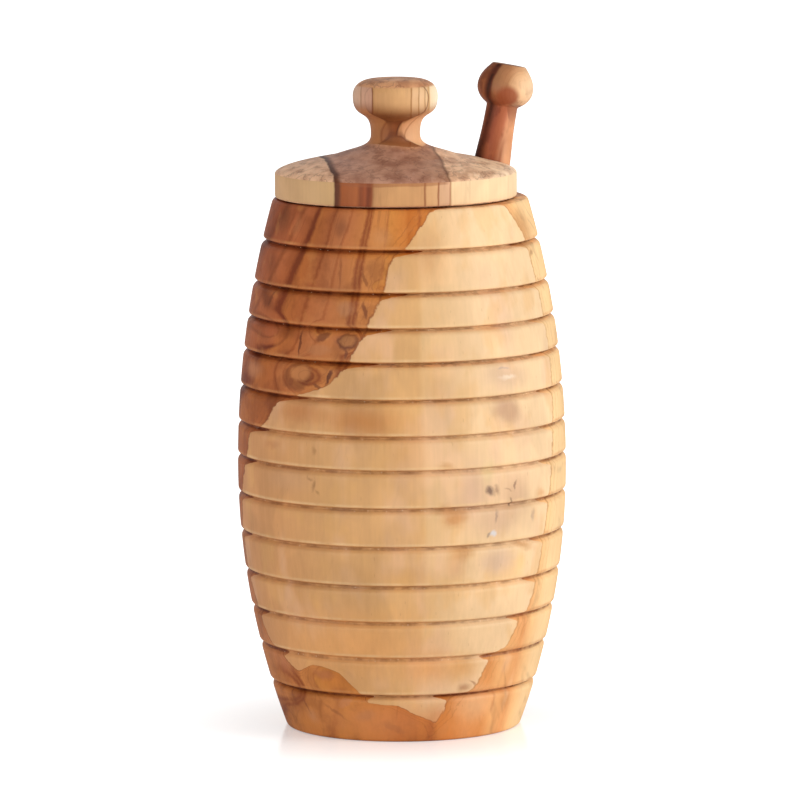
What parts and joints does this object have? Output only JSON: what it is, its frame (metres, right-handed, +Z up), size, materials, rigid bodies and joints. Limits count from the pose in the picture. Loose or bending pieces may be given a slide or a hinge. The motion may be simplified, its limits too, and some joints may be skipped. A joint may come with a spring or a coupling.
{
  "type": "honey pot",
  "caption": "Turned wooden honey pot: a grooved barrel body, a lift-off lid with a knob and an open notch for the handle, and a honey dipper that leans inside.",
  "frame": {"origin": "middle of the pot's flat foot, on the surface it stands on", "axes": "+Z up along the pot's axis; -Y towards the viewer of the picture; the dipper leans towards +X and a little towards +Y"},
  "size_m": [0.0854, 0.0854, 0.1722],
  "materials": {
    "pot_wood": "turned olive wood, oiled satin, honey-coloured with brown heartwood figure",
    "lid_wood": "turned olive wood, oiled satin, end grain on top",
    "dipper_wood": "turned olive heartwood, oiled satin, dark reddish brown"
  },
  "bodies": {
    "pot": {"pot": "pot_wood"},
    "dipper": {"dipper": "dipper_wood"},
    "lid": {"lid": "lid_wood"}
  },
  "joints": [
    {"name": "dipper_lift", "type": "slide", "parent": "pot", "child": "dipper", "axis": [0, 0, 1], "range_m": [0, 0.15]},
    {"name": "lid_lift", "type": "slide", "parent": "dipper", "child": "lid", "axis": [-0.4898, -0.1592, 0.8572], "range_m": [0, 0.08]}
  ]
}
